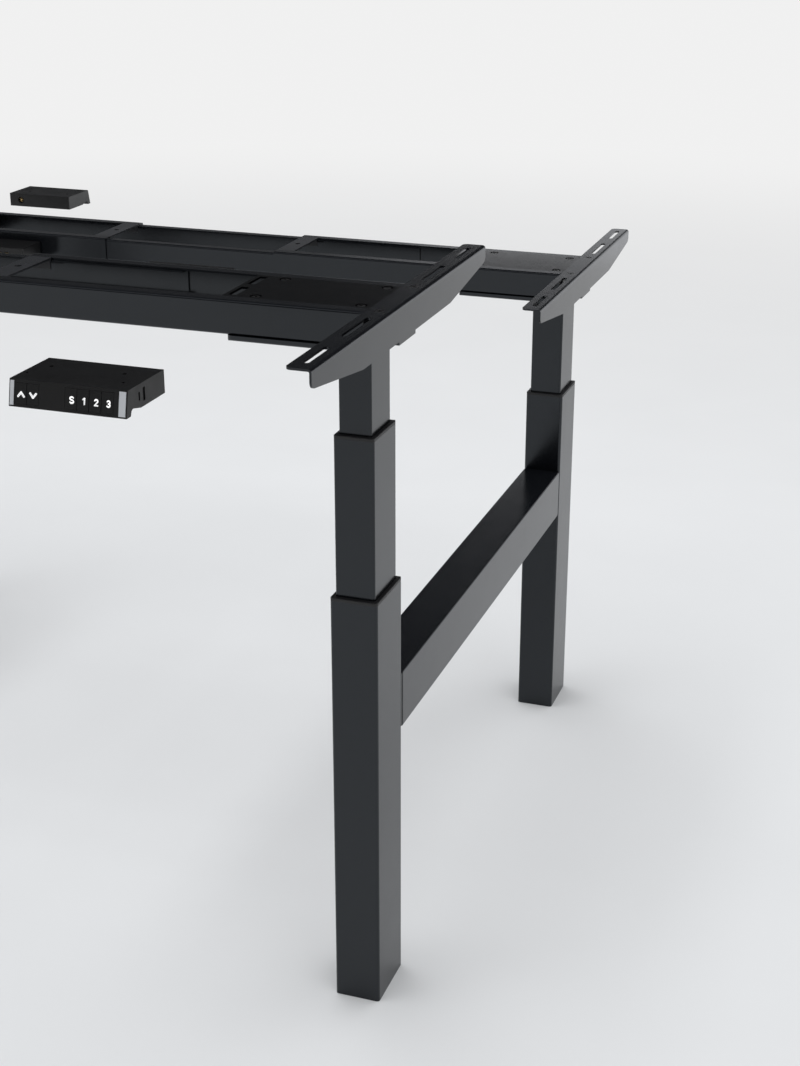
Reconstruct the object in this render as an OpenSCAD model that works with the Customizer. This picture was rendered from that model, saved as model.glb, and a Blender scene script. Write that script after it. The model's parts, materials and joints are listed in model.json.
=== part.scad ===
/* [Layout] */
// Distance between the left and right column centres
column_pitch = 1230; // [1000:10:1600]
// Distance between the front and rear column rows
row_pitch = 877; // [760:1:1000]
// Lowest height of a frame's top face
lift_low_z = 735; // [720:1:760]
// Travel of a frame between its lowest and highest height
lift_stroke = 520; // [480:5:560]
// Rise of the front frame above its lowest height
front_rise = 187.5; // [0:0.5:480]
// Rise of the rear frame above its lowest height
rear_rise = 33.5; // [0:0.5:480]
// Part of a frame's lift that its middle tubes make
stage_share = 0.38; // [0.3:0.01:0.45]

/* [Columns] */
// Width of the outer tube, along the desk
outer_w = 60; // [56:1:72]
// Depth of the outer tube, front to back
outer_d = 89; // [80:1:100]
// Height of the outer tube with its collar
outer_h = 564; // [500:1:620]
// Wall of every column tube
tube_wall = 2; // [1.5:0.1:2.5]
// Corner radius of the outer tube
corner_r = 4; // [3:0.5:6]
// Width that each stage loses to the one around it
stage_step_w = 10; // [9:0.5:11]
// Depth that each stage loses to the one around it
stage_step_d = 12.5; // [11:0.5:14]
// Height of a collar's rim above its tube
collar_h = 4; // [3:0.5:8]
// Length of a collar's sleeve inside its tube
sleeve_len = 60; // [30:1:90]
// Length of a glide round the foot of a tube
glide_len = 40; // [20:1:60]
// Height of a middle tube's foot above the floor when lowest
middle_foot_z = 95; // [80:1:150]
// Height of an inner tube's foot above the floor when lowest
inner_foot_z = 107; // [80:1:150]

/* [Side beams] */
// Height of a side beam's underside above the floor
beam_z = 356; // [250:1:400]
// Height of a side beam's section
beam_h = 77; // [50:1:90]
// Wall of a side beam
beam_wall = 2; // [1.5:0.1:3]
// Corner radius of a side beam
beam_r = 2.5; // [2:0.5:6]
// Thickness of the plates that close a side beam
beam_plate_t = 4.5; // [3:0.5:8]
// Shank of the screws that hold a side beam
beam_screw_d = 8; // [6:1:10]

/* [Spindles] */
// Outside diameter of the lifting spindle
spindle_d = 12; // [10:1:14]
// Outside diameter of the tube that the spindle runs down
nut_tube_d = 24; // [20:1:28]
// Outside diameter of the lifting nut
nut_d = 28; // [25:1:32]
// Height of the lifting nut
nut_h = 20; // [12:1:40]
// Height of a spindle's lower end above the floor when lowest
spindle_foot_z = 60; // [30:1:100]
// Thickness of the plate in a column's foot
base_plate_t = 6; // [4:0.5:10]

/* [Top frame] */
// Thickness of the sheet steel of rails and brackets
sheet_t = 2.5; // [2:0.1:3]
// Height of a rail
rail_h = 40; // [34:1:46]
// Distance over the outer faces of a pair of rails
rail_span = 141; // [136:1:150]
// Width of a rail's lips
rail_lip = 18; // [14:1:20]
// Outer bend radius of a rail
rail_bend_r = 3; // [2.6:0.1:4]
// Length of an end rail
end_rail_len = 485; // [420:1:520]
// Reach of an end rail past its column's centre
end_rail_reach = 25; // [20:1:25]
// Length of a centre rail
centre_rail_len = 728; // [650:1:800]
// Width of a centre rail's lips
centre_rail_lip = 16.4; // [15.8:0.1:16.6]
// Width of a tie between two rails
tie_w = 30; // [20:1:50]
// Depth of a tie's turned down ears
tie_ear_h = 14; // [8:1:18]
// Diameter of the screw hole in a tie
tie_hole_d = 9; // [5:0.5:12]

/* [Side brackets] */
// Length of a side bracket, front to back
bracket_len = 590; // [560:1:700]
// Width of a side bracket's top flange
bracket_w = 29; // [26:1:34]
// Outer bend radius of a side bracket
bracket_bend_r = 4; // [3:0.5:5]
// Depth of a side bracket beside its column
bracket_h = 40; // [34:1:46]
// Depth of a side bracket at its tips
bracket_tip_h = 20; // [14:1:30]
// Length of a side bracket that keeps its full depth
bracket_flat_len = 300; // [200:1:340]
// Width of the slots in a side bracket
slot_w = 7; // [5:0.5:8]
// Length of the slots near a side bracket's tips
outer_slot_len = 62; // [30:1:70]
// Distance from a bracket's tip to the end of its outer slot
outer_slot_end = 20; // [15:1:30]
// Length of the slots beside the column
inner_slot_len = 80; // [40:1:90]
// Distance from a bracket's screw to the end of its inner slot
inner_slot_gap = 31; // [20:1:36]
// Distance between a side bracket's two screws
bracket_screw_pitch = 118; // [110:1:122]

/* [Leg heads] */
// Length of a leg head's cover inboard of its column
cover_reach = 152; // [145:1:170]
// Thickness of the plate under a leg head's cover
head_plate_t = 4; // [3:0.5:6]
// Reach of the head plate inboard of its column
head_plate_reach = 130; // [125:1:133]
// Width of the two cable slots in a cover
cable_slot_w = 10; // [6:0.5:12]
// Length of each cable slot in a cover
cable_slot_len = 38; // [20:1:40]
// Depth of the gearbox's underside below the top face
gearbox_drop = 38; // [36:0.5:40]
// Diameter of a drive motor
motor_d = 32; // [26:1:34]
// Length of a drive motor
motor_len = 96; // [70:1:110]
// Reach of a leg pan inboard of its column
pan_reach = 140; // [134:1:160]
// Reach of a leg pan outboard of its column
pan_out = 36; // [34:1:44]
// Height of a leg pan
pan_h = 6.4; // [5:0.1:10]
// Overhang of a leg pan past the rails' outer faces
pan_proud = 2.5; // [1:0.5:4]
// Shank of the leg head and bracket screws
screw_d = 6; // [5:0.5:6.5]

/* [Control box] */
// Length of the control box, along the desk
box_len = 117; // [100:1:150]
// Depth of the control box, front to back
box_d = 61; // [50:1:80]
// Height of the control box
box_h = 30; // [26:1:36]
// Distance of the control box's centre from the middle of the desk
box_x = 338.5; // [200:0.5:400]
// Depth of the control box and handset below the top face
fitting_drop = 14; // [5:0.5:20]

/* [Handset] */
// Length of the handset, along the desk
handset_len = 130; // [126:1:140]
// Depth of the handset's top face, front to back
handset_d = 77; // [72:1:90]
// Thickness of the handset's body
handset_h = 24.4; // [23:0.1:30]
// Height of the handset's front
handset_front_h = 27; // [26:0.1:32]
// Forward lean of the handset's front from top to bottom
handset_lean = 6; // [3:0.5:8]
// Distance of the front handset's centre from the middle of the desk
front_handset_x = 447; // [300:1:500]
// Distance of the rear handset's centre from the middle of the desk
rear_handset_x = 497; // [300:1:500]
// Distance of the handset's front edge from the column centres
handset_front_y = 375.4; // [360:0.1:420]
// Distance from key to key
key_pitch = 13.4; // [12.5:0.1:13.8]
// Gap between two keys
key_gap = 0.5; // [0.4:0.1:1]
// Height of a key
key_h = 21.4; // [12:0.1:22]
// Thickness of a key
key_t = 3; // [2:0.5:4]
// Travel of a key
key_travel = 0.8; // [0.4:0.1:1.2]
// Width of a handset's end cap
cap_w = 7.4; // [5:0.1:8]

/* [Hidden] */
$fn = 48;
// Gap between pieces that seat on each other
seat_gap = 0.1;
// Gap between pieces that slide on each other
run_gap = 0.3;
// Overrun of a cut past the face that it leaves
cut_over = 1;

// The middle and inner tubes of a column
middle_w = outer_w - stage_step_w;
middle_d = outer_d - stage_step_d;
middle_r = corner_r - tube_wall / 2;
inner_w = middle_w - stage_step_w;
inner_d = middle_d - stage_step_d;
inner_r = middle_r - tube_wall / 2;

// Room between a middle collar and the gearbox when the frame is lowest
park_gap = 2.25;
front_top_z = lift_low_z + front_rise;
rear_top_z = lift_low_z + rear_rise;
lift_high_z = lift_low_z + lift_stroke;
head_z = -gearbox_drop;
middle_low_z = lift_low_z - gearbox_drop - park_gap;
middle_len = middle_low_z - middle_foot_z;
inner_len = lift_low_z - gearbox_drop - inner_foot_z;
spindle_len = lift_low_z - gearbox_drop - spindle_foot_z;
// Thread left below the nut when the frame is highest
thread_left = 5;
nut_top_z = lift_high_z - gearbox_drop - spindle_len + nut_h + thread_left;
function middle_z(top_z) = middle_low_z + stage_share * (top_z - lift_low_z);

// Glides, collars and nut tubes
glide_lip = 3;
collar_edge_r = 1;
nut_tube_wall = 2;
nut_foot_d = 44;
nut_foot_t = 4;

// Beams and their screws
beam_len = row_pitch - outer_d - 2 * beam_plate_t;
beam_mid_z = beam_z + beam_h / 2;
beam_plate_inset = 0.5;
beam_screw_pitch = 40;
beam_screw_head_d = 13;
beam_screw_head_h = 2.6;
beam_screw_tail = 12;
beam_screw_clear = 0.6;

// Rails and ties, from the column line
rail_y = rail_span / 2;
rail_tip_y = rail_y - rail_lip;
rail_start_x = end_rail_reach - end_rail_len;
centre_rail_h = rail_h - 2 * sheet_t - 2 * seat_gap;
centre_rail_y = rail_y - sheet_t - seat_gap;
centre_rail_top_z = -sheet_t - seat_gap;
tie_y = rail_tip_y - seat_gap;
tie_ear_y = centre_rail_y - centre_rail_lip - seat_gap;

// Side brackets, from the column's centre
rail_end_gap = 1;
bracket_in_x = end_rail_reach + rail_end_gap;
bracket_out_x = bracket_in_x + bracket_w;
slot_in = 14;
slot_x = bracket_in_x + slot_in;
outer_slot_pitch = bracket_len - 2 * outer_slot_end - outer_slot_len;
inner_slot_pitch = bracket_screw_pitch + 2 * inner_slot_gap + inner_slot_len;
bracket_tip_r = 7;
bracket_corner_r = 8;

// Leg heads, from the column's centre
cover_y = rail_tip_y - seat_gap;
cover_out_x = bracket_in_x - seat_gap;
head_plate_y = rail_y - sheet_t - inner_bend_r(rail_bend_r, sheet_t);
head_plate_out_x = bracket_out_x - bracket_bend_r;
head_plate_z = -sheet_t - head_plate_t;
cable_slot_in = 5;
cable_tongue_w = 16;
head_screw_in = 16;
head_screw_out = 13;
head_screw_side = 9.4;
head_screw_in_x = head_screw_in - head_plate_reach;
head_screw_out_x = cover_out_x - head_screw_out;
head_screw_y = cover_y - head_screw_side;
head_screw_d = 10;
head_screw_h = 2;
head_screw_window_d = 14;
screw_clear = 0.6;
screw_len = 12;
csk_d = 11;
csk_h = 2.2;
hex_socket_w = 4;
hex_socket_h = 1.4;

// Drives, under the head plates
motor_plate_z = head_plate_z - seat_gap;
motor_plate_t = 3;
motor_plate_rim = 8;
gearbox_w = 44;
gearbox_d = 66;
motor_z = motor_plate_z - motor_d / 2 - seat_gap;
spindle_collar_d = 20;
spindle_collar_h = 12;

// Leg pans
pan_top_z = -rail_h - seat_gap;
pan_y = rail_y + pan_proud;
pan_len = pan_reach + pan_out;
pan_mid_x = (pan_out - pan_reach) / 2;
pan_floor_t = 1.5;
pan_rim_t = 5;
pan_corner_r = 9;
pan_edge_r = 3;
pan_clear = 2;
pan_tab_w = 56;
pan_tab_x = bracket_out_x - sheet_t - run_gap;

// Control box
box_y = rail_y + seat_gap;
box_corner_r = 4;
box_edge_r = 1.5;
box_recess_len = 62;
box_recess_h = 15;
box_recess_depth = 8;
box_sockets = 4;
box_socket_w = 10;
box_socket_h = 9;
box_socket_depth = 6;
box_socket_pitch = 14.5;

// The handset's side profile, from the top edge of its front
handset_lip_t = 9;
handset_notch_y = 8;
handset_notch_z = 20.4;
handset_lip_slope = 3;
handset_lip_h = 5;
handset_belly_y = 25;
lean_angle = atan(handset_lean / handset_front_h);
face_h = norm([handset_lean, handset_front_h]);
// Keys and end caps on the handset's face
key_top = 3.6;
key_end = 12.9;
key_blank = 42;
key_float = 0.1;
up_key_x = key_end - handset_len / 2;
down_key_x = up_key_x + key_pitch;
s_key_x = down_key_x + key_blank;
cap_t = 1.5;
cap_proud = 0.3;
cap_rim = 1.6;
left_cap_w = 4.2;
left_cap_rim = 1;
// Holes in the handset
handset_hole_shift = 5.7;
handset_hole_depth = 8;
back_hole_pitch = 82;
back_hole_y = 50;
back_hole_d = 4.4;
front_hole_pitch = 107;
front_hole_y = 23;
front_hole_d = 3.2;
vent_y_shares = [0.29, 0.42];
vent_h_shares = [0.36, 0.56];
vent_w_share = 0.34;
vent_depth = 1.5;
port_in = 23.5;
port_d = 12;
port_depth = 8;

// Places: the rear desk is the front one turned round, at its own height
module at_front_row() translate([0, -row_pitch / 2, 0]) children();
module at_rear_row() rotate(180) at_front_row() children();
module at_front_top() at_front_row() translate([0, 0, front_top_z]) children();
module at_rear_top() at_rear_row() translate([0, 0, rear_top_z]) children();
module at_front_middle() at_front_row() translate([0, 0, middle_z(front_top_z)]) children();
module at_rear_middle() at_rear_row() translate([0, 0, middle_z(rear_top_z)]) children();
module at_right_end() translate([column_pitch / 2, 0, 0]) children();
module at_left_end() mirror([1, 0, 0]) at_right_end() children();
module at_both_ends() {
    at_left_end() children();
    at_right_end() children();
}
module at_all_columns() {
    at_front_row() at_both_ends() children();
    at_rear_row() at_both_ends() children();
}

// Outlines
function inner_bend_r(r, wall) = max(r - wall, wall / 4);
module round_rect(w, d, r) {
    square([w - 2 * r, d], center = true);
    square([w, d - 2 * r], center = true);
    for (sx = [-1, 1], sy = [-1, 1])
        translate([sx * (w / 2 - r), sy * (d / 2 - r)]) circle(r);
}
module round_ring(w, d, r, wall) difference() {
    round_rect(w, d, r);
    round_rect(w - 2 * wall, d - 2 * wall, inner_bend_r(r, wall));
}
module slot_outline(w, len) {
    square([w, len - w], center = true);
    for (sy = [-1, 1]) translate([0, sy * (len - w) / 2]) circle(d = w);
}
// A block with its top at zero, its upright edges rounded by r and its upper edges by edge_r
module eased_block(w, d, h, r, edge_r) intersection() {
    translate([0, 0, -h]) linear_extrude(h) round_rect(w, d, r);
    translate([-w / 2, 0, -h]) rotate([90, 0, 90]) linear_extrude(w) round_rect(d, 2 * h, edge_r);
    translate([0, d / 2, -h]) rotate([90, 0, 0]) linear_extrude(d) round_rect(w, 2 * h, edge_r);
}

// Columns
module column_tube(w, d, r, len) translate([0, 0, -len])
    linear_extrude(len) round_ring(w, d, r, tube_wall);
// A collar with its top at zero: a rim on the tube and a sleeve inside it
module collar(w, d, r, in_w, in_d, in_r) difference() {
    union() {
        eased_block(w, d, collar_h, r, collar_edge_r);
        translate([0, 0, -collar_h - sleeve_len]) linear_extrude(sleeve_len + collar_h / 2)
            round_rect(w - 2 * (tube_wall + seat_gap), d - 2 * (tube_wall + seat_gap), r - tube_wall / 2);
    }
    translate([0, 0, -collar_h - sleeve_len - cut_over])
        linear_extrude(sleeve_len + collar_h + 2 * cut_over)
            round_rect(in_w + 2 * run_gap, in_d + 2 * run_gap, in_r + run_gap);
}
// A glide round a tube's foot, which is at zero, with a lip under the tube
module glide(w, d, r, out_w, out_d, out_r) difference() {
    translate([0, 0, -glide_lip]) linear_extrude(glide_len + glide_lip)
        round_rect(out_w - 2 * tube_wall - 2 * run_gap, out_d - 2 * tube_wall - 2 * run_gap,
            out_r - tube_wall / 2 - run_gap);
    linear_extrude(glide_len + cut_over) round_rect(w + 2 * seat_gap, d + 2 * seat_gap, r + seat_gap);
    translate([0, 0, -glide_lip - cut_over]) linear_extrude(glide_lip + 2 * cut_over)
        round_rect(w - 2 * tube_wall, d - 2 * tube_wall, r - tube_wall / 2);
}
// The bores of a beam joint's two screws, from one depth to another
module beam_screw_bores(from_y, to_y, d) for (sz = [-1, 1])
    translate([0, from_y, beam_mid_z + sz * beam_screw_pitch / 2]) rotate([-90, 0, 0])
        cylinder(d = d, h = to_y - from_y);
module outer_tube() color("#2f3033") difference() {
    translate([0, 0, outer_h - collar_h]) column_tube(outer_w, outer_d, corner_r, outer_h - collar_h);
    beam_screw_bores(outer_d / 2 - tube_wall - cut_over, outer_d / 2 + cut_over,
        beam_screw_d + beam_screw_clear);
}
module base_plate() color("#3a3b3d") linear_extrude(base_plate_t)
    round_rect(outer_w - 2 * tube_wall - 2 * seat_gap, outer_d - 2 * tube_wall - 2 * seat_gap,
        corner_r - tube_wall / 2);
module outer_collar() color("#1b1b1d") translate([0, 0, outer_h])
    collar(outer_w, outer_d, corner_r, middle_w, middle_d, middle_r);
module nut_tube() color("#9a9da1") difference() {
    union() {
        translate([0, 0, base_plate_t]) cylinder(d = nut_foot_d, h = nut_foot_t);
        translate([0, 0, base_plate_t]) cylinder(d = nut_tube_d, h = nut_top_z - nut_h / 2 - base_plate_t);
        translate([0, 0, nut_top_z - nut_h]) cylinder(d = nut_d, h = nut_h);
    }
    translate([0, 0, base_plate_t + nut_foot_t])
        cylinder(d = nut_tube_d - 2 * nut_tube_wall, h = nut_top_z - nut_h - base_plate_t - nut_foot_t);
    translate([0, 0, nut_top_z - nut_h - cut_over])
        cylinder(d = spindle_d + 2 * run_gap, h = nut_h + 2 * cut_over);
}
module middle_tube() color("#2f3033") translate([0, 0, -collar_h])
    column_tube(middle_w, middle_d, middle_r, middle_len - collar_h);
module middle_collar() color("#1b1b1d") collar(middle_w, middle_d, middle_r, inner_w, inner_d, inner_r);
module middle_glide() color("#d8d6cf") translate([0, 0, -middle_len])
    glide(middle_w, middle_d, middle_r, outer_w, outer_d, corner_r);
module inner_tube() color("#2f3033") translate([0, 0, head_z])
    column_tube(inner_w, inner_d, inner_r, inner_len);
module inner_glide() color("#d8d6cf") translate([0, 0, head_z - inner_len])
    glide(inner_w, inner_d, inner_r, middle_w, middle_d, middle_r);

// Side beams, along Y between the two rows
module cross_beam() color("#2f3033") translate([0, beam_len / 2, beam_mid_z]) rotate([90, 0, 0])
    linear_extrude(beam_len) round_ring(outer_w, beam_h, beam_r, beam_wall);
module beam_end_plate() color("#28292b") difference() {
    translate([0, outer_d / 2 + beam_plate_t, beam_mid_z]) rotate([90, 0, 0]) linear_extrude(beam_plate_t)
        round_rect(outer_w - 2 * beam_plate_inset, beam_h - 2 * beam_plate_inset, beam_r);
    beam_screw_bores(outer_d / 2 - cut_over, outer_d / 2 + beam_plate_t + cut_over,
        beam_screw_d + 2 * seat_gap);
}
module beam_screw_pair() color("#8d9094") for (sz = [-1, 1])
    translate([0, outer_d / 2 - tube_wall - seat_gap, beam_mid_z + sz * beam_screw_pitch / 2])
        rotate([-90, 0, 0]) difference() {
            union() {
                cylinder(d = beam_screw_d, h = tube_wall + beam_plate_t + beam_screw_tail);
                translate([0, 0, -beam_screw_head_h])
                    cylinder(d = beam_screw_head_d, h = beam_screw_head_h);
            }
            translate([0, 0, -beam_screw_head_h - cut_over])
                cylinder(d = hex_socket_w, h = hex_socket_h + cut_over, $fn = 6);
        }

// Rails: C sections along X that open towards each other, from x0 on
module rail_pair(h, lip, y, top_z, x0, len) for (sy = [0, 1]) mirror([0, sy, 0])
    translate([x0, 0, 0]) rotate([90, 0, 90]) linear_extrude(len) translate([y - lip, top_z - h])
        intersection() {
            square([lip, h]);
            translate([0, h / 2]) round_ring(2 * lip, h, rail_bend_r, sheet_t);
        }
module end_rail_pair() color("#2e2f32")
    rail_pair(rail_h, rail_lip, rail_y, 0, rail_start_x, end_rail_len);
module centre_rail_pair() color("#2b2c2f")
    rail_pair(centre_rail_h, centre_rail_lip, centre_rail_y, centre_rail_top_z,
        -centre_rail_len / 2, centre_rail_len);
module rail_tie() color("#3a3b3e") translate([rail_start_x, 0, 0]) difference() {
    union() {
        translate([0, -tie_y, -sheet_t]) cube([tie_w, 2 * tie_y, sheet_t]);
        for (sy = [0, 1]) mirror([0, sy, 0])
            translate([0, tie_ear_y - sheet_t, -tie_ear_h]) cube([tie_w, sheet_t, tie_ear_h]);
    }
    translate([tie_w / 2, 0, -sheet_t - cut_over]) cylinder(d = tie_hole_d, h = sheet_t + 2 * cut_over);
}

// Side bracket: a bent angle whose hanging flange tapers to its tips
module bracket_side_outline() {
    tip = bracket_len / 2;
    flat = bracket_flat_len / 2;
    slope = atan((bracket_h - bracket_tip_h) / (tip - flat));
    round_z = bracket_corner_r * (1 - sin(slope)) / cos(slope) - bracket_tip_h;
    foot_y = tip - bracket_corner_r * (1 - sin(slope));
    foot_z = round_z - bracket_corner_r * cos(slope);
    polygon([[-tip, 0], [-tip, round_z], [-foot_y, foot_z], [-flat, -bracket_h],
        [flat, -bracket_h], [foot_y, foot_z], [tip, round_z], [tip, 0]]);
    for (sy = [-1, 1]) translate([sy * (tip - bracket_corner_r), round_z]) circle(bracket_corner_r);
}
module bracket_top_outline() difference() {
    translate([bracket_out_x, 0]) round_rect(2 * bracket_w, bracket_len, bracket_tip_r);
    for (sy = [-1, 1]) {
        translate([slot_x, sy * outer_slot_pitch / 2]) slot_outline(slot_w, outer_slot_len);
        translate([slot_x, sy * inner_slot_pitch / 2]) slot_outline(slot_w, inner_slot_len);
    }
}
module at_bracket_screws() for (sy = [-1, 1])
    translate([slot_x, sy * bracket_screw_pitch / 2, 0]) children();
module side_bracket() color("#4a4b4f") difference() {
    intersection() {
        translate([bracket_in_x, bracket_len / 2, -bracket_h]) rotate([90, 0, 0])
            linear_extrude(bracket_len) intersection() {
                square([bracket_w, bracket_h]);
                round_ring(2 * bracket_w, 2 * bracket_h, bracket_bend_r, sheet_t);
            }
        translate([bracket_in_x, 0, 0]) rotate([90, 0, 90])
            linear_extrude(bracket_w) bracket_side_outline();
        translate([0, 0, -bracket_h]) linear_extrude(bracket_h) bracket_top_outline();
    }
    at_bracket_screws() {
        translate([0, 0, -sheet_t - cut_over])
            cylinder(d = screw_d + screw_clear, h = sheet_t + 2 * cut_over);
        translate([0, 0, -csk_h]) cylinder(d1 = screw_d + screw_clear, d2 = csk_d, h = csk_h);
    }
}
module bracket_screw_pair() color("#1d1d1f") at_bracket_screws() difference() {
    union() {
        translate([0, 0, -csk_h]) cylinder(d1 = screw_d, d2 = csk_d - screw_clear, h = csk_h - seat_gap);
        translate([0, 0, -screw_len]) cylinder(d = screw_d, h = screw_len - csk_h / 2);
    }
    translate([0, 0, -hex_socket_h - seat_gap])
        cylinder(d = hex_socket_w, h = hex_socket_h + cut_over, $fn = 6);
}

// Leg head: a cover flush with the rails, welded on a plate that lies in them
module at_head_screws() for (x = [head_screw_in_x, head_screw_out_x], sy = [-1, 1])
    translate([x, sy * head_screw_y, 0]) children();
module leg_head() color("#2b2c2e") difference() {
    union() {
        translate([-cover_reach, -cover_y, -sheet_t])
            cube([cover_reach + cover_out_x, 2 * cover_y, sheet_t]);
        translate([-head_plate_reach, -cover_y, head_plate_z])
            cube([head_plate_reach + cover_out_x, 2 * cover_y, head_plate_t]);
        translate([-head_plate_reach, -head_plate_y, head_plate_z])
            cube([head_plate_reach + head_plate_out_x, 2 * head_plate_y, head_plate_t - seat_gap]);
    }
    for (sy = [-1, 1])
        translate([cable_slot_in - cover_reach, sy * cable_tongue_w / 2, -sheet_t - cut_over])
            mirror([0, (1 - sy) / 2, 0]) cube([cable_slot_w, cable_slot_len, sheet_t + 2 * cut_over]);
    at_head_screws() {
        translate([0, 0, -sheet_t]) cylinder(d = head_screw_window_d, h = sheet_t + cut_over);
        translate([0, 0, head_plate_z - cut_over])
            cylinder(d = screw_d + screw_clear, h = head_plate_t + 2 * cut_over);
    }
    at_bracket_screws() translate([0, 0, head_plate_z - cut_over])
        cylinder(d = screw_d + 2 * seat_gap, h = head_plate_t + 2 * cut_over);
}
module leg_screw_set() color("#1d1d1f") at_head_screws() difference() {
    union() {
        translate([0, 0, seat_gap - sheet_t]) cylinder(d = head_screw_d, h = head_screw_h);
        translate([0, 0, -screw_len]) cylinder(d = screw_d, h = screw_len - sheet_t + head_screw_h / 2);
    }
    translate([0, 0, seat_gap - sheet_t + head_screw_h - hex_socket_h])
        cylinder(d = hex_socket_w, h = hex_socket_h + cut_over, $fn = 6);
}
module gear_motor() color("#6f7276") difference() {
    plate_in_x = head_screw_in_x - motor_plate_rim;
    plate_out_x = head_screw_out_x + motor_plate_rim;
    plate_y = head_screw_y + motor_plate_rim;
    union() {
        translate([plate_in_x, -plate_y, motor_plate_z - motor_plate_t])
            cube([plate_out_x - plate_in_x, 2 * plate_y, motor_plate_t]);
        translate([-gearbox_w / 2, -gearbox_d / 2, head_z + seat_gap])
            cube([gearbox_w, gearbox_d, motor_plate_z - head_z - seat_gap]);
        translate([-gearbox_w / 2 - motor_len, 0, motor_z]) rotate([0, 90, 0])
            cylinder(d = motor_d, h = motor_len + cut_over);
    }
    at_head_screws() translate([0, 0, motor_plate_z - motor_plate_t - cut_over])
        cylinder(d = screw_d + 2 * seat_gap, h = motor_plate_t + 2 * cut_over);
    translate([0, 0, head_z])
        cylinder(d = spindle_collar_d + 2 * run_gap, h = spindle_collar_h + 2 * seat_gap);
}
module spindle() color("#b9bcc0") translate([0, 0, head_z]) {
    translate([0, 0, seat_gap]) cylinder(d = spindle_collar_d, h = spindle_collar_h);
    translate([0, 0, -spindle_len]) cylinder(d = spindle_d, h = spindle_len + spindle_collar_h / 2);
}
// Leg pan: a tray under the rails, with a tab under the bracket and an opening for the column
module leg_pan() color("#26272a") difference() {
    union() {
        translate([pan_mid_x, 0, pan_top_z - pan_h]) mirror([0, 0, 1])
            eased_block(pan_len, 2 * pan_y, pan_h, pan_corner_r, pan_edge_r);
        translate([pan_out - pan_corner_r, -pan_tab_w / 2, pan_top_z - pan_h])
            cube([pan_tab_x - pan_out + pan_corner_r, pan_tab_w, pan_h]);
    }
    translate([pan_mid_x, 0, pan_top_z - pan_h + pan_floor_t]) linear_extrude(pan_h)
        round_rect(pan_len - 2 * pan_rim_t, 2 * pan_y - 2 * pan_rim_t, pan_corner_r - pan_rim_t);
    translate([0, 0, pan_top_z - pan_h - cut_over]) linear_extrude(pan_h)
        round_rect(middle_w + 2 * pan_clear, middle_d + 2 * pan_clear, middle_r + pan_clear);
}

// Control box, on the face of the rail between the two desks
module control_box() color("#1f2022")
    translate([box_x, box_y + box_d / 2, -fitting_drop - box_h / 2]) difference() {
        for (sz = [0, 1]) mirror([0, 0, sz]) translate([0, 0, box_h / 2])
            eased_block(box_len, box_d, box_h / 2, box_corner_r, box_edge_r);
        translate([-box_recess_len / 2, box_d / 2 - box_recess_depth, -box_recess_h / 2])
            cube([box_recess_len, box_recess_depth + cut_over, box_recess_h]);
        for (i = [0:box_sockets - 1])
            translate([(i - (box_sockets - 1) / 2) * box_socket_pitch - box_socket_w / 2,
                box_d / 2 - box_recess_depth - box_socket_depth, -box_socket_h / 2])
                cube([box_socket_w, box_socket_depth + cut_over, box_socket_h]);
    }

// Handset, from the top edge of its front face, with its inside along +Y
module at_front_handset() at_front_top()
    translate([front_handset_x, -handset_front_y, -fitting_drop]) children();
module at_rear_handset() at_rear_top()
    translate([rear_handset_x, -handset_front_y, -fitting_drop]) children();
// The leaning face: X along it, Y into it and Z up it, from its top edge
module on_face() rotate([-lean_angle, 0, 0]) children();
module handset_profile() polygon([[0, 0], [-handset_lean, -handset_front_h],
    [handset_lip_t - handset_lean, -handset_front_h],
    [handset_notch_y - handset_lip_slope, handset_lip_h - handset_front_h],
    [handset_notch_y, -handset_notch_z], [handset_belly_y, -handset_h],
    [handset_d, -handset_h], [handset_d, 0]]);
module key_pocket(first_x, last_x) on_face()
    translate([first_x - key_pitch / 2, -cut_over, -key_top - key_h - key_gap / 2])
        cube([last_x - first_x + key_pitch, cut_over + key_t + key_travel + key_float, key_h + key_gap]);
// Blocks in the places of the two end caps, from proud of the face to a depth in it
module cap_blocks(proud, depth, gap) on_face() {
    translate([left_cap_rim - handset_len / 2 - gap, -proud, cap_rim - face_h - gap])
        cube([left_cap_w + 2 * gap, proud + depth, face_h - 2 * cap_rim + 2 * gap]);
    translate([handset_len / 2 - cap_rim - cap_w - gap, -proud, cap_rim - face_h - gap])
        cube([cap_w + 2 * gap, proud + depth, face_h - 2 * cap_rim + 2 * gap]);
}
module handset_case() color("#1a1b1d") difference() {
    translate([-handset_len / 2, 0, 0]) rotate([90, 0, 90]) linear_extrude(handset_len) handset_profile();
    key_pocket(up_key_x, down_key_x);
    key_pocket(s_key_x, s_key_x + 3 * key_pitch);
    cap_blocks(cut_over, cap_t + seat_gap, seat_gap);
    translate([-handset_hole_shift, 0, -handset_hole_depth]) for (sx = [-1, 1]) {
        translate([sx * back_hole_pitch / 2, back_hole_y, 0])
            cylinder(d = back_hole_d, h = handset_hole_depth + cut_over);
        translate([sx * front_hole_pitch / 2, front_hole_y, 0])
            cylinder(d = front_hole_d, h = handset_hole_depth + cut_over);
    }
    for (i = [0, 1]) {
        vent_h = vent_h_shares[i] * handset_h;
        vent_w = vent_w_share * vent_h;
        translate([handset_len / 2 - vent_depth, vent_y_shares[i] * handset_d - vent_w / 2,
            -(handset_h + vent_h) / 2])
            cube([vent_depth + cut_over, vent_w, vent_h]);
    }
    translate([handset_len / 2 - port_in, handset_d + cut_over, -handset_h / 2]) rotate([90, 0, 0])
        cylinder(d = port_d, h = port_depth + cut_over);
}
module handset_caps() color("#a7aaad") cap_blocks(cap_proud, cap_t, 0);
module key(x) color("#202124") on_face()
    translate([x + (key_gap - key_pitch) / 2, 0, -key_top - key_h])
        cube([key_pitch - key_gap, key_t, key_h]);

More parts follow.
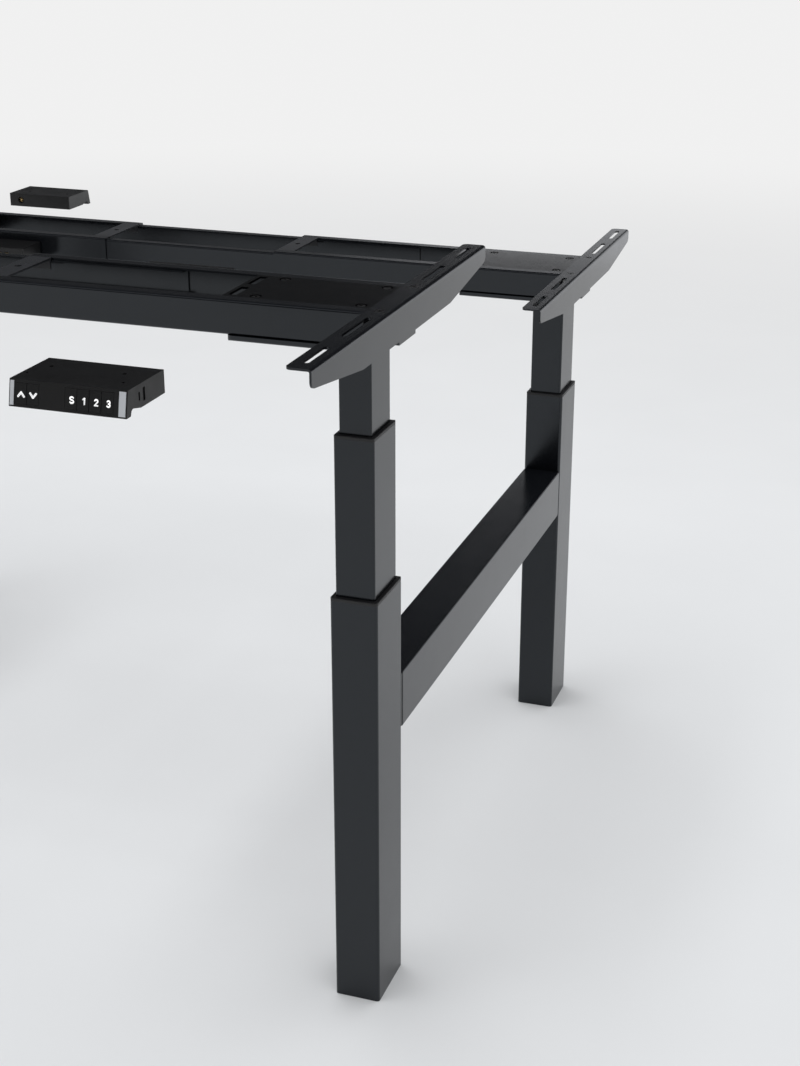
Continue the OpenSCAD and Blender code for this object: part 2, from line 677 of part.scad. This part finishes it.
at_front_row() at_left_end() outer_tube();  // front_left_outer_tube
at_front_row() at_right_end() outer_tube();  // front_right_outer_tube
at_rear_row() at_right_end() outer_tube();  // rear_left_outer_tube
at_rear_row() at_left_end() outer_tube();  // rear_right_outer_tube
at_both_ends() cross_beam();  // cross_beams
at_all_columns() beam_end_plate();  // beam_end_plates
at_all_columns() beam_screw_pair();  // beam_screws
at_all_columns() base_plate();  // base_plates
at_all_columns() outer_collar();  // outer_collars
at_all_columns() nut_tube();  // nut_tubes
at_front_middle() at_both_ends() middle_tube();  // front_middle_tubes
at_front_middle() at_both_ends() middle_collar();  // front_middle_collars
at_front_middle() at_both_ends() middle_glide();  // front_middle_glides
at_rear_middle() at_both_ends() middle_tube();  // rear_middle_tubes
at_rear_middle() at_both_ends() middle_collar();  // rear_middle_collars
at_rear_middle() at_both_ends() middle_glide();  // rear_middle_glides
at_front_top() at_both_ends() inner_tube();  // front_inner_tubes
at_front_top() at_both_ends() inner_glide();  // front_inner_glides
at_front_top() at_both_ends() spindle();  // front_spindles
at_front_top() at_both_ends() gear_motor();  // front_gear_motors
at_front_top() at_both_ends() leg_head();  // front_leg_heads
at_front_top() at_both_ends() leg_screw_set();  // front_leg_screws
at_front_top() at_both_ends() leg_pan();  // front_leg_pans
at_front_top() at_both_ends() end_rail_pair();  // front_end_rails
at_front_top() centre_rail_pair();  // front_centre_rails
at_front_top() at_both_ends() rail_tie();  // front_rail_ties
at_front_top() at_left_end() side_bracket();  // front_left_bracket
at_front_top() at_right_end() side_bracket();  // front_right_bracket
at_front_top() at_both_ends() bracket_screw_pair();  // front_bracket_screws
at_front_top() control_box();  // front_control_box
at_front_handset() handset_case();  // front_handset_case
at_front_handset() handset_caps();  // front_handset_caps
at_front_handset() key(up_key_x);  // front_up_key
at_front_handset() key(down_key_x);  // front_down_key
at_front_handset() key(s_key_x);  // front_s_key
at_front_handset() key(s_key_x + key_pitch);  // front_1_key
at_front_handset() key(s_key_x + 2 * key_pitch);  // front_2_key
at_front_handset() key(s_key_x + 3 * key_pitch);  // front_3_key
at_rear_top() at_both_ends() inner_tube();  // rear_inner_tubes
at_rear_top() at_both_ends() inner_glide();  // rear_inner_glides
at_rear_top() at_both_ends() spindle();  // rear_spindles
at_rear_top() at_both_ends() gear_motor();  // rear_gear_motors
at_rear_top() at_both_ends() leg_head();  // rear_leg_heads
at_rear_top() at_both_ends() leg_screw_set();  // rear_leg_screws
at_rear_top() at_both_ends() leg_pan();  // rear_leg_pans
at_rear_top() at_both_ends() end_rail_pair();  // rear_end_rails
at_rear_top() centre_rail_pair();  // rear_centre_rails
at_rear_top() at_both_ends() rail_tie();  // rear_rail_ties
at_rear_top() at_right_end() side_bracket();  // rear_left_bracket
at_rear_top() at_left_end() side_bracket();  // rear_right_bracket
at_rear_top() at_both_ends() bracket_screw_pair();  // rear_bracket_screws
at_rear_top() control_box();  // rear_control_box
at_rear_handset() handset_case();  // rear_handset_case
at_rear_handset() handset_caps();  // rear_handset_caps
at_rear_handset() key(up_key_x);  // rear_up_key
at_rear_handset() key(down_key_x);  // rear_down_key
at_rear_handset() key(s_key_x);  // rear_s_key
at_rear_handset() key(s_key_x + key_pitch);  // rear_1_key
at_rear_handset() key(s_key_x + 2 * key_pitch);  // rear_2_key
at_rear_handset() key(s_key_x + 3 * key_pitch);  // rear_3_key
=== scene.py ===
import json
import math
import bpy
import bmesh
from mathutils import Matrix, Vector


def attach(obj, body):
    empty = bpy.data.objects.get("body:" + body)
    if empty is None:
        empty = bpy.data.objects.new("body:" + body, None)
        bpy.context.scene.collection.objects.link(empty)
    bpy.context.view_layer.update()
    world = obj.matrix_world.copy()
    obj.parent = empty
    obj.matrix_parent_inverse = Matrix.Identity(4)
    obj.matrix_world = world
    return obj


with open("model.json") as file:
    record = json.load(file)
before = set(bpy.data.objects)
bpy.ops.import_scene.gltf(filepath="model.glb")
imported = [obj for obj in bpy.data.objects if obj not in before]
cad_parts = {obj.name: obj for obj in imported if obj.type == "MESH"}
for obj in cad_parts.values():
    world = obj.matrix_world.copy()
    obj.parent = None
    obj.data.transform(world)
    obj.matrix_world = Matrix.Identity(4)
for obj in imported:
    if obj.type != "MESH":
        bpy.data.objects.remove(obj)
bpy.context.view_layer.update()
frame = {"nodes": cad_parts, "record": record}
scene = bpy.context.scene
scene.view_settings.view_transform = "Standard"
MM = 1000.0

# Camera, solved from the photograph's vanishing points
PHOTO_H = 1066.0
FOCAL_PX = 1752.7
SENSOR = 36.0
CAMERA_AT = (1.2927, -2.2548, 1.405)
CAMERA_DIP = 21.70
CAMERA_TURN = 19.257
CAMERA_REACH = 200.0

# Studio: tones where 1 is white, places in metres
PALE = (0.875, 0.875, 0.875, 1.0)
FLOOR_TONES = ((0.760, 0.768, 0.778), (0.775, 0.783, 0.793))
FLOOR_HALF = 60.0
FLOOR_Z = -0.0002
FLOOR_FADE = (0.8, 6.2)
ROOM_TONE = (0.95, 0.97, 1.0, 1.0)
ROOM_STRENGTH = 0.03
CARD_TONE = (0.94, 0.95, 0.98, 1.0)
CARD_X = 6
BACKDROP_Y, BACKDROP_TOP = 3.8, 1.5
BACKDROP_FADE, BACKDROP_STRENGTHS = (-1.15, -0.65), (0.3, 1.12)
FRONT_CARD_LOW, FRONT_CARD_HIGH = (-4.5, 3.6), (-2.5, 7)
FRONT_CARD_STRENGTH = 0.7
LAMP_AT = (0.0, 0.0, 6.0)
LAMP_SIZE = 10.0
LAMP_WATTS = 718.0
LAMP_TONE = (0.985, 0.992, 1.0)

# Noise of the materials: features per metre, and the part of its range that is used
CLOUD_SCALE, CLOUD_DETAIL = 9.0, 4.0
SMUDGE_SCALE, SMUDGE_DETAIL = 35.0, 5.0
# Scale of the noise that breaks up the painted edge highlight
HIGHLIGHT_BREAKUP_SCALE = 60.0
SPECK_SCALE = 3.0
GRAIN_DETAIL = 2.0
CRISP = 0.6
NOISE_SPAN = (0.3, 0.7)
# Painted highlight on sharp edges: the pointiness where it starts and ends, and how much lighter the colour
# is made there
EDGE_SPAN = (0.52, 0.60)
EDGE_HIGHLIGHT_GAIN, EDGE_HIGHLIGHT_LIFT = 3, 0.02
COAT_IOR = 1.5
COAT_BUMP = 0.0002
# Turned metal: width of its marks, spread of its roughness, depth of its bump
TURN_SCALE, TURN_DARK, TURN_SPREAD = 40.0, 0.8, 0.08
TURN_BUMP, TURN_DEPTH = 0.25, 0.0001

# The two desks: the distance between their middles and the height of their top faces
DESKS = ("front", "rear")
ROW = 0.877
TOP_Z = {"front": 0.9225, "rear": 0.7685}

# Handset: its middle along the desk, and its front top edge
HANDSET_X = {"front": 0.447, "rear": 0.497}
HANDSET_Y = -0.3754
HANDSET_Z = -0.014
HANDSET_DEPTH = 0.077
HANDSET_LEN_MM = 130.0
LEAN = math.atan(6.0 / 27.0)

# Marks on the keys, in millimetres on the handset's face
FIRST_KEY_X = 12.9
KEY_PITCH = 13.4
S_KEY_STEP = 42.0
MARK_Z = -14.9
ARROW_SHIFT, LETTER_SHIFT = 0.5, 1.3
MARK_SUNK, MARK_PROUD = 0.00004, -0.00008

# Contacts in the handset's round port: seven pins round a post
PORT_X, PORT_INSET, PORT_DROP = 0.0415, 0.005, 0.0122
PINS, PIN_TURN, PIN_CIRCLE = 7, 45, 0.0035
PIN_R, PIN_LEN, PIN_SIDES = 0.0005, 0.006, 12
POST_R, POST_LEN, POST_SIDES = 0.0016, 0.0055, 20

# Contacts in the control box's sockets
BOX_X, BOX_Y, BOX_DEPTH, BOX_Z = 0.3385, 0.0706, 0.061, -0.029
SOCKETS, SOCKET_PITCH = 4, 0.0145
CONTACTS, CONTACT_PITCH = 6, 0.0012
CONTACT_INSET, CONTACT_RISE = 0.0115, 0.0028
CONTACT_SIZE = (0.0006, 0.0045, 0.0009, 1.0)
CONTACT_EDGE = 0.00012


def make_camera():
    data = bpy.data.cameras.new("camera")
    data.sensor_fit = "VERTICAL"
    data.sensor_height = SENSOR
    data.lens = SENSOR * FOCAL_PX / PHOTO_H
    data.clip_end = CAMERA_REACH
    cam = bpy.data.objects.new("camera", data)
    cam.location = CAMERA_AT
    cam.rotation_euler = (math.radians(90.0 - CAMERA_DIP), 0.0, math.radians(CAMERA_TURN))
    scene.collection.objects.link(cam)
    scene.camera = cam


# Node trees
def new_material(name):
    mat = bpy.data.materials.new(name)
    mat.use_nodes = True
    nt = mat.node_tree
    nt.nodes.clear()
    return mat, nt, nt.nodes.new("ShaderNodeOutputMaterial")


def node(nt, kind, values=None, **settings):
    """A new node with its settings and the plain values of its sockets."""
    n = nt.nodes.new(kind)
    for key, value in settings.items():
        setattr(n, key, value)
    for key, value in (values or {}).items():
        n.inputs[key].default_value = value
    return n


def object_place(nt):
    return nt.nodes.new("ShaderNodeTexCoord").outputs["Object"]


def noise(nt, coord, scale, detail=3.0, rough=0.5):
    n = node(nt, "ShaderNodeTexNoise", {"Scale": scale, "Detail": detail, "Roughness": rough})
    nt.links.new(coord, n.inputs["Vector"])
    return n.outputs["Fac"]


def two_tones(nt, fac, dark, light):
    r = nt.nodes.new("ShaderNodeValToRGB")
    for stop, place, tone in zip(r.color_ramp.elements, NOISE_SPAN, (dark, light)):
        stop.position, stop.color = place, (*tone, 1.0)
    nt.links.new(fac, r.inputs["Fac"])
    return r.outputs["Color"]


def map_range(nt, value, span, low, high, **settings):
    values = {"From Min": span[0], "From Max": span[1], "To Min": low, "To Max": high}
    m = node(nt, "ShaderNodeMapRange", values, **settings)
    nt.links.new(value, m.inputs["Value"])
    return m.outputs["Result"]


def combine(nt, operation, a, b):
    m = node(nt, "ShaderNodeMath", operation=operation, use_clamp=True)
    nt.links.new(a, m.inputs[0])
    nt.links.new(b, m.inputs[1])
    return m.outputs["Value"]


def finish_surface(nt, out, bsdf, height, strength, distance):
    """Bump on the surface, and the surface on the material."""
    b = node(nt, "ShaderNodeBump", {"Strength": strength, "Distance": distance})
    nt.links.new(height, b.inputs["Height"])
    nt.links.new(b.outputs["Normal"], bsdf.inputs["Normal"])
    nt.links.new(bsdf.outputs["BSDF"], out.inputs["Surface"])


def surface(name, dark, light, rough, grain, bump, metallic=0.0, edge_highlight=0.0, tint=(1.0, 1.0, 1.0), glow=0.0):
    """Coated or moulded surface: cloudy tone, fine grain in bump and roughness, a painted highlight that
    makes sharp edges lighter, and an optional painted glow.
    """
    mat, nt, out = new_material(name)
    coord = object_place(nt)
    bsdf = node(nt, "ShaderNodeBsdfPrincipled", {
        "Metallic": metallic, "IOR": COAT_IOR, "Specular Tint": (*tint, 1.0), "Emission Strength": glow})
    base = two_tones(nt, noise(nt, coord, CLOUD_SCALE, CLOUD_DETAIL), dark, light)
    # Painted highlight: sharp edges, found by pointiness, get a lighter colour, broken up by noise
    if edge_highlight > 0.0:
        geo = nt.nodes.new("ShaderNodeNewGeometry")
        edge_highlight_mask = map_range(nt, geo.outputs["Pointiness"], EDGE_SPAN, 0.0, 1.0)
        highlight_breakup = map_range(nt, noise(nt, coord, HIGHLIGHT_BREAKUP_SCALE), NOISE_SPAN, 0.0, edge_highlight)
        mix = node(nt, "ShaderNodeMix", data_type="RGBA")
        nt.links.new(combine(nt, "MULTIPLY", edge_highlight_mask, highlight_breakup), mix.inputs[0])
        nt.links.new(base, mix.inputs[6])
        mix.inputs[7].default_value = (*(c * EDGE_HIGHLIGHT_GAIN + EDGE_HIGHLIGHT_LIFT for c in light), 1.0)
        base = mix.outputs[2]
    nt.links.new(base, bsdf.inputs["Base Color"])
    smudge = noise(nt, coord, SMUDGE_SCALE, SMUDGE_DETAIL, CRISP)
    nt.links.new(map_range(nt, smudge, NOISE_SPAN, *rough), bsdf.inputs["Roughness"])
    finish_surface(nt, out, bsdf, noise(nt, coord, grain, GRAIN_DETAIL, CRISP), bump, COAT_BUMP)
    return mat


def turned_metal(name, tone, rough, rings):
    """Bare metal with fine turning or drawing marks along Z."""
    mat, nt, out = new_material(name)
    bsdf = node(nt, "ShaderNodeBsdfPrincipled", {"Metallic": 1.0})
    mapping = node(nt, "ShaderNodeMapping", {"Scale": (TURN_SCALE, TURN_SCALE, rings)})
    nt.links.new(object_place(nt), mapping.inputs["Vector"])
    lines = noise(nt, mapping.outputs["Vector"], 1.0, CLOUD_DETAIL, CRISP)
    dark = tuple(c * TURN_DARK for c in tone)
    nt.links.new(two_tones(nt, lines, dark, tone), bsdf.inputs["Base Color"])
    dull = map_range(nt, lines, NOISE_SPAN, rough - TURN_SPREAD, rough + TURN_SPREAD)
    nt.links.new(dull, bsdf.inputs["Roughness"])
    finish_surface(nt, out, bsdf, lines, TURN_BUMP, TURN_DEPTH)
    return mat


COAT = surface("powder_coat", (0.0038, 0.0043, 0.0056), (0.0046, 0.0052, 0.0066), (0.18, 0.22), 1300.0, 0.04,
               edge_highlight=0.04, tint=(0.88, 0.94, 1.0))
COVER = surface("cover_coat", (0.0016, 0.0017, 0.0020), (0.0022, 0.0023, 0.0027), (0.13, 0.16), 1300.0, 0.03,
                edge_highlight=0.03, tint=(0.55, 0.57, 0.60))
TIE = surface("tie_coat", (0.016, 0.017, 0.019), (0.020, 0.021, 0.024), (0.26, 0.32), 1300.0, 0.05, edge_highlight=0.03)
COLLAR = surface("collar_plastic", (0.009, 0.009, 0.0095), (0.013, 0.013, 0.0135), (0.45, 0.55), 900.0, 0.2)
GLIDE = surface("glide_plastic", (0.55, 0.54, 0.50), (0.66, 0.65, 0.61), (0.40, 0.50), 600.0, 0.1)
SCREW = surface("black_screws", (0.006, 0.006, 0.006), (0.012, 0.012, 0.012), (0.28, 0.40), 2500.0, 0.3,
                metallic=0.4)
MOTOR = surface("motor_grey", (0.030, 0.031, 0.033), (0.045, 0.046, 0.049), (0.35, 0.5), 800.0, 0.3)
HOUSING = surface("housing_plastic", (0.0045, 0.0045, 0.0048), (0.0060, 0.0060, 0.0064), (0.38, 0.46), 2600.0,
                  0.35, edge_highlight=0.04)
KEY = surface("key_plastic", (0.0050, 0.0050, 0.0053), (0.0065, 0.0065, 0.0068), (0.34, 0.42), 3200.0, 0.25)
CAP = surface("cap_plastic", (0.66, 0.68, 0.71), (0.72, 0.74, 0.77), (0.30, 0.38), 2500.0, 0.12)
# Key marks: white print, plus a painted glow from emission that makes them brighter than the lamps light them
MARK_PRINT_AND_GLOW = surface("key_marks", (0.80, 0.80, 0.80), (0.88, 0.88, 0.88), (0.42, 0.5), 2500.0, 0.1, glow=0.42)
STEEL = turned_metal("bare_steel", (0.56, 0.57, 0.59), 0.32, 900.0)
BRASS = turned_metal("contact_brass", (0.72, 0.52, 0.24), 0.30, 200.0)

SLOT_LOOK = {
    "black_powder_coat": COAT, "collar_plastic": COLLAR, "glide_plastic": GLIDE,
    "black_screws": SCREW, "motor_grey": MOTOR, "housing_plastic": HOUSING,
    "key_plastic": KEY, "cap_plastic": CAP, "bare_steel": STEEL,
}
# Pieces whose look isn't their slot's
OWN_LOOK = {"leg_heads": COVER, "rail_ties": TIE}
# Width of the rounded edges of each kind of piece, in millimetres
EDGES = {
    "rails": 0.35, "bracket": 0.5, "ties": 0.35, "leg_heads": 0.3, "handset_case": 0.9, "key": 0.35,
    "caps": 0.25, "control_box": 0.0, "beam_end_plates": 0.4, "leg_pans": 0.3, "gear_motors": 0.4,
}
OTHER_EDGE = 0.25
ROUND_PIECES = ("tubes", "screws")


def pick(table, name, otherwise):
    """The entry whose key is part of the name."""
    return next((value for key, value in table.items() if key in name), otherwise)


def dress_nodes():
    slot_of = {s["node"]: s["material_slot"] for s in frame["record"]["subparts"]}
    for name, obj in frame["nodes"].items():
        look = pick(OWN_LOOK, name, SLOT_LOOK[slot_of[name]])
        if not obj.material_slots:
            obj.data.materials.append(look)
        for s in obj.material_slots:
            s.material = look
        width = pick(EDGES, name, OTHER_EDGE)
        if width > 0.0 and not name.endswith(ROUND_PIECES):
            m = obj.modifiers.new("edges", "BEVEL")
            m.width = width / MM
            m.segments = 2
            m.limit_method = "ANGLE"
            m.angle_limit = math.radians(40)
            m.harden_normals = True


def desk_matrix(desk):
    """From a desk's own frame (x along it, y inwards, z from its top face) to the part's."""
    move = Matrix.Translation((0.0, -ROW / 2, TOP_Z[desk]))
    return move if desk == "front" else Matrix.Rotation(math.pi, 4, "Z") @ move


def face_matrix(desk):
    """From the handset's leaning face (x along it, y into it, z up it) to the part's frame."""
    place = Matrix.Translation((HANDSET_X[desk], HANDSET_Y, HANDSET_Z)) @ Matrix.Rotation(-LEAN, 4, "X")
    return desk_matrix(desk) @ place


def add_mesh(name, bm, matrix, material, body):
    mesh = bpy.data.meshes.new(name)
    bm.to_mesh(mesh)
    bm.free()
    mesh.transform(matrix)
    mesh.materials.append(material)
    obj = bpy.data.objects.new(name, mesh)
    scene.collection.objects.link(obj)
    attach(obj, body)


def prism(bm, outline, back, front):
    lower = [bm.verts.new((x, back, z)) for x, z in outline]
    upper = [bm.verts.new((x, front, z)) for x, z in outline]
    bm.faces.new(upper)
    bm.faces.new(lower[::-1])
    for i in range(len(outline)):
        j = (i + 1) % len(outline)
        bm.faces.new((lower[i], lower[j], upper[j], upper[i]))


def stroke(bm, points, width):
    """A raised stroke with round ends and joints, in the x-z plane, standing out towards -y."""
    h = width / 2
    for (x0, z0), (x1, z1) in zip(points, points[1:]):
        d = math.atan2(z1 - z0, x1 - x0)
        outline = []
        for cx, cz, a0 in ((x1, z1, d - math.pi / 2), (x0, z0, d + math.pi / 2)):
            turns = [a0 + math.pi * k / 8 for k in range(9)]
            outline += [(cx + h * math.cos(a), cz + h * math.sin(a)) for a in turns]
        prism(bm, outline, MARK_SUNK, MARK_PROUD)


def arc(cx, cz, rx, rz, a0, a1, n=14):
    turns = [math.radians(a0 + (a1 - a0) * k / n) for k in range(n + 1)]
    return [(cx + rx * math.cos(a), cz + rz * math.sin(a)) for a in turns]


# Each key's mark: its strokes and their width, in millimetres round its centre
MARKS = {
    "up": ([[(-3.3, -2.0), (0.0, 2.0), (3.3, -2.0)]], 2.2),
    "down": ([[(-3.3, 2.0), (0.0, -2.0), (3.3, 2.0)]], 2.2),
    "s": ([arc(0.0, 1.5, 1.9, 1.45, 30, 270) + arc(0.0, -1.5, 2.0, 1.5, 90, -150)[1:]], 1.55),
    "1": ([[(-1.1, 1.7), (0.6, 2.9), (0.6, -2.9)]], 1.55),
    "2": ([arc(0.0, 1.35, 1.6, 1.55, 165, -28) + [(-1.6, -2.9), (1.75, -2.9)]], 1.5),
    "3": ([arc(-0.1, 1.5, 1.5, 1.4, 150, -90), arc(-0.1, -1.45, 1.7, 1.5, 90, -150)], 1.5),
}


def mark_places():
    up_x = FIRST_KEY_X - HANDSET_LEN_MM / 2
    s_x = up_x + KEY_PITCH + S_KEY_STEP
    places = {"up": up_x + ARROW_SHIFT, "down": up_x + KEY_PITCH + ARROW_SHIFT}
    for i, kind in enumerate("s123"):
        places[kind] = s_x + i * KEY_PITCH + LETTER_SHIFT
    return places


def key_marks():
    for desk in DESKS:
        for kind, x in mark_places().items():
            bm = bmesh.new()
            strokes, width = MARKS[kind]
            for line in strokes:
                stroke(bm, [((x + px) / MM, (pz + MARK_Z) / MM) for px, pz in line], width / MM)
            bmesh.ops.recalc_face_normals(bm, faces=bm.faces)
            body = f"{desk}_{kind}_key_body"
            add_mesh(f"{desk}_{kind}_mark", bm, face_matrix(desk), MARK_PRINT_AND_GLOW, body)


def pin(bm, radius, length, centre, sides):
    """A round pin along y."""
    turn = Vector((0, 0, 1)).rotation_difference(Vector((0, 1, 0))).to_matrix().to_4x4()
    bmesh.ops.create_cone(bm, cap_ends=True, segments=sides, radius1=radius, radius2=radius, depth=length,
                          matrix=Matrix.Translation(centre) @ turn)


def handset_contacts(desk):
    bm = bmesh.new()
    centre = Vector((HANDSET_X[desk] + PORT_X, HANDSET_Y + HANDSET_DEPTH - PORT_INSET, HANDSET_Z - PORT_DROP))
    for k in range(PINS):
        a = math.radians(PIN_TURN + PIN_TURN * k)
        p = centre + Vector((PIN_CIRCLE * math.cos(a), 0.0, PIN_CIRCLE * math.sin(a)))
        pin(bm, PIN_R, PIN_LEN, p, PIN_SIDES)
    pin(bm, POST_R, POST_LEN, centre, POST_SIDES)
    add_mesh(f"{desk}_handset_contacts", bm, desk_matrix(desk), BRASS, f"{desk}_top")


def socket_contacts(desk):
    bm = bmesh.new()
    for i in range(SOCKETS):
        cx = BOX_X + (i - (SOCKETS - 1) / 2) * SOCKET_PITCH
        for k in range(CONTACTS):
            x = cx + (k - (CONTACTS - 1) / 2) * CONTACT_PITCH
            at = Matrix.Translation((x, BOX_Y + BOX_DEPTH - CONTACT_INSET, BOX_Z + CONTACT_RISE))
            bmesh.ops.create_cube(bm, size=1.0, matrix=at @ Matrix.Diagonal(CONTACT_SIZE))
    bmesh.ops.bevel(bm, geom=list(bm.edges), offset=CONTACT_EDGE, segments=1, affect="EDGES")
    add_mesh(f"{desk}_socket_contacts", bm, desk_matrix(desk), BRASS, f"{desk}_top")


# Studio
def stage_plane(name, corners, mat):
    mesh = bpy.data.meshes.new(name)
    mesh.from_pydata(corners, [], [(0, 1, 2, 3)])
    mesh.materials.append(mat)
    obj = bpy.data.objects.new(name, mesh)
    scene.collection.objects.link(obj)
    return obj


def make_floor():
    """A pale floor that takes the object's shadow, and fades into the background far from it."""
    mat, nt, out = new_material("studio_floor")
    coord = object_place(nt)
    length = node(nt, "ShaderNodeVectorMath", operation="LENGTH")
    nt.links.new(coord, length.inputs[0])
    far = map_range(nt, length.outputs["Value"], FLOOR_FADE, 0.0, 1.0, interpolation_type="SMOOTHSTEP")
    diffuse = nt.nodes.new("ShaderNodeBsdfDiffuse")
    speck = noise(nt, coord, SPECK_SCALE, GRAIN_DETAIL)
    nt.links.new(two_tones(nt, speck, *FLOOR_TONES), diffuse.inputs["Color"])
    glow = node(nt, "ShaderNodeEmission", {"Color": PALE, "Strength": 1.0})
    path = nt.nodes.new("ShaderNodeLightPath")
    seen = combine(nt, "ADD", path.outputs["Is Camera Ray"], path.outputs["Is Glossy Ray"])
    seen = combine(nt, "ADD", seen, path.outputs["Is Transmission Ray"])
    mix = nt.nodes.new("ShaderNodeMixShader")
    nt.links.new(combine(nt, "MULTIPLY", seen, far), mix.inputs["Fac"])
    nt.links.new(diffuse.outputs["BSDF"], mix.inputs[1])
    nt.links.new(glow.outputs["Emission"], mix.inputs[2])
    nt.links.new(mix.outputs["Shader"], out.inputs["Surface"])
    s = FLOOR_HALF
    floor = stage_plane("floor", [(-s, -s, 0), (s, -s, 0), (s, s, 0), (-s, s, 0)], mat)
    floor.location = (0.0, 0.0, FLOOR_Z)


def gloss_card(name, low, high, span, strengths):
    """A white card, from (y, z) low to high, which only gloss shows. It brightens along the span of x."""
    mat, nt, out = new_material(name)
    glow = node(nt, "ShaderNodeEmission", {"Color": CARD_TONE})
    axes = nt.nodes.new("ShaderNodeSeparateXYZ")
    nt.links.new(nt.nodes.new("ShaderNodeNewGeometry").outputs["Position"], axes.inputs["Vector"])
    nt.links.new(map_range(nt, axes.outputs["X"], span, *strengths), glow.inputs["Strength"])
    nt.links.new(glow.outputs["Emission"], out.inputs["Surface"])
    corners = [(-CARD_X, *low), (CARD_X, *low), (CARD_X, *high), (-CARD_X, *high)]
    card = stage_plane(name, corners, mat)
    card.visible_camera = False
    card.visible_diffuse = False
    card.visible_shadow = False


def make_cards():
    foot, top = (BACKDROP_Y, 0), (BACKDROP_Y, BACKDROP_TOP)
    gloss_card("backdrop", foot, top, BACKDROP_FADE, BACKDROP_STRENGTHS)
    even = (FRONT_CARD_STRENGTH, FRONT_CARD_STRENGTH)
    gloss_card("front_card", FRONT_CARD_LOW, FRONT_CARD_HIGH, (-CARD_X, CARD_X), even)


def make_world():
    world = bpy.data.worlds.new("studio")
    scene.world = world
    world.use_nodes = True
    nt = world.node_tree
    nt.nodes.clear()
    out = nt.nodes.new("ShaderNodeOutputWorld")
    seen = node(nt, "ShaderNodeBackground", {"Color": PALE})
    room = node(nt, "ShaderNodeBackground", {"Color": ROOM_TONE, "Strength": ROOM_STRENGTH})
    path = nt.nodes.new("ShaderNodeLightPath")
    mix = nt.nodes.new("ShaderNodeMixShader")
    nt.links.new(path.outputs["Is Camera Ray"], mix.inputs["Fac"])
    nt.links.new(room.outputs["Background"], mix.inputs[1])
    nt.links.new(seen.outputs["Background"], mix.inputs[2])
    nt.links.new(mix.outputs["Shader"], out.inputs["Surface"])


def make_lamp():
    data = bpy.data.lights.new("overhead", "AREA")
    data.shape = "RECTANGLE"
    data.size = LAMP_SIZE
    data.size_y = LAMP_SIZE
    data.energy = LAMP_WATTS
    data.color = LAMP_TONE
    lamp = bpy.data.objects.new("overhead", data)
    lamp.location = LAMP_AT
    lamp.visible_camera = False
    lamp.visible_glossy = False
    scene.collection.objects.link(lamp)


make_camera()
make_world()
make_lamp()
make_floor()
make_cards()
dress_nodes()
key_marks()
for desk in DESKS:
    handset_contacts(desk)
    socket_contacts(desk)
